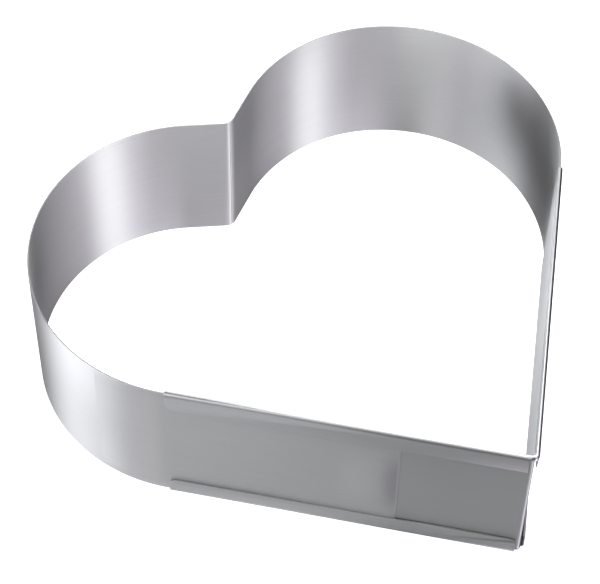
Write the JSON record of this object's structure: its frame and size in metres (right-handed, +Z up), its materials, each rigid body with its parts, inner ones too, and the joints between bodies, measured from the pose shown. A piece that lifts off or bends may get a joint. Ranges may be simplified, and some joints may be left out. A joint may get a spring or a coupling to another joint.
{
  "type": "adjustable heart cake ring",
  "caption": "Heart-shaped sheet-steel cake ring, open top and bottom, whose strip slides in a folded V-shaped corner piece to change its size.",
  "frame": {"origin": "on the surface that the ring stands on, under the middle of its box", "axes": "+Z up, +Y from the corner piece towards the cleft, +X to the right lobe"},
  "size_m": [0.2026, 0.1918, 0.06],
  "materials": {
    "corner_steel": "satin stainless sheet, grain along the sheet",
    "strip_steel": "satin stainless strip, grain along the strip"
  },
  "bodies": {
    "corner": {"corner_piece": "corner_steel"},
    "left_end": {"left_slide_end": "strip_steel"},
    "left_flank": {"left_flank": "strip_steel"},
    "left_crown": {"left_crown": "strip_steel"},
    "left_cleft": {"left_cleft": "strip_steel"},
    "right_end": {"right_slide_end": "strip_steel"},
    "right_flank": {"right_flank": "strip_steel"},
    "right_crown": {"right_crown": "strip_steel"},
    "right_cleft": {"right_cleft": "strip_steel"}
  },
  "joints": [
    {"name": "left_draw", "type": "slide", "parent": "corner", "child": "left_end", "axis": [-0.682, 0.7314, 0], "range_m": [0, 0.045]},
    {"name": "left_mouth_flex", "type": "hinge", "parent": "left_end", "child": "left_flank", "pos_m": [-0.08491, -0.00474, 0.03], "axis": [0, 0, 1], "range_deg": [-26.4, 0]},
    {"name": "left_crown_flex", "type": "hinge", "parent": "left_flank", "child": "left_crown", "pos_m": [-0.10082, 0.04114, 0.03], "axis": [0, 0, 1], "range_deg": [0, 15.3]},
    {"name": "left_shoulder_flex", "type": "hinge", "parent": "left_crown", "child": "left_cleft", "pos_m": [-0.06916, 0.08917, 0.03], "axis": [0, 0, 1], "range_deg": [0, 11.2]},
    {"name": "right_draw", "type": "slide", "parent": "corner", "child": "right_end", "axis": [0.682, 0.7314, 0], "range_m": [0, 0.045]},
    {"name": "right_mouth_flex", "type": "hinge", "parent": "right_end", "child": "right_flank", "pos_m": [0.08491, -0.00474, 0.03], "axis": [0, 0, 1], "range_deg": [0, 26.4]},
    {"name": "right_crown_flex", "type": "hinge", "parent": "right_flank", "child": "right_crown", "pos_m": [0.10082, 0.04114, 0.03], "axis": [0, 0, 1], "range_deg": [-15.3, 0]},
    {"name": "right_shoulder_flex", "type": "hinge", "parent": "right_crown", "child": "right_cleft", "pos_m": [0.06916, 0.08917, 0.03], "axis": [0, 0, 1], "range_deg": [-11.2, 0]}
  ],
  "couplings": [
    {"joint": "right_draw", "follows": "left_draw", "ratio": 1},
    {"joint": "left_mouth_flex", "follows": "left_draw", "rad_per_m": -10.201},
    {"joint": "left_crown_flex", "follows": "left_draw", "rad_per_m": 5.8955},
    {"joint": "left_shoulder_flex", "follows": "left_draw", "rad_per_m": 4.3059},
    {"joint": "right_mouth_flex", "follows": "left_draw", "rad_per_m": 10.201},
    {"joint": "right_crown_flex", "follows": "left_draw", "rad_per_m": -5.8955},
    {"joint": "right_shoulder_flex", "follows": "left_draw", "rad_per_m": -4.3059}
  ]
}
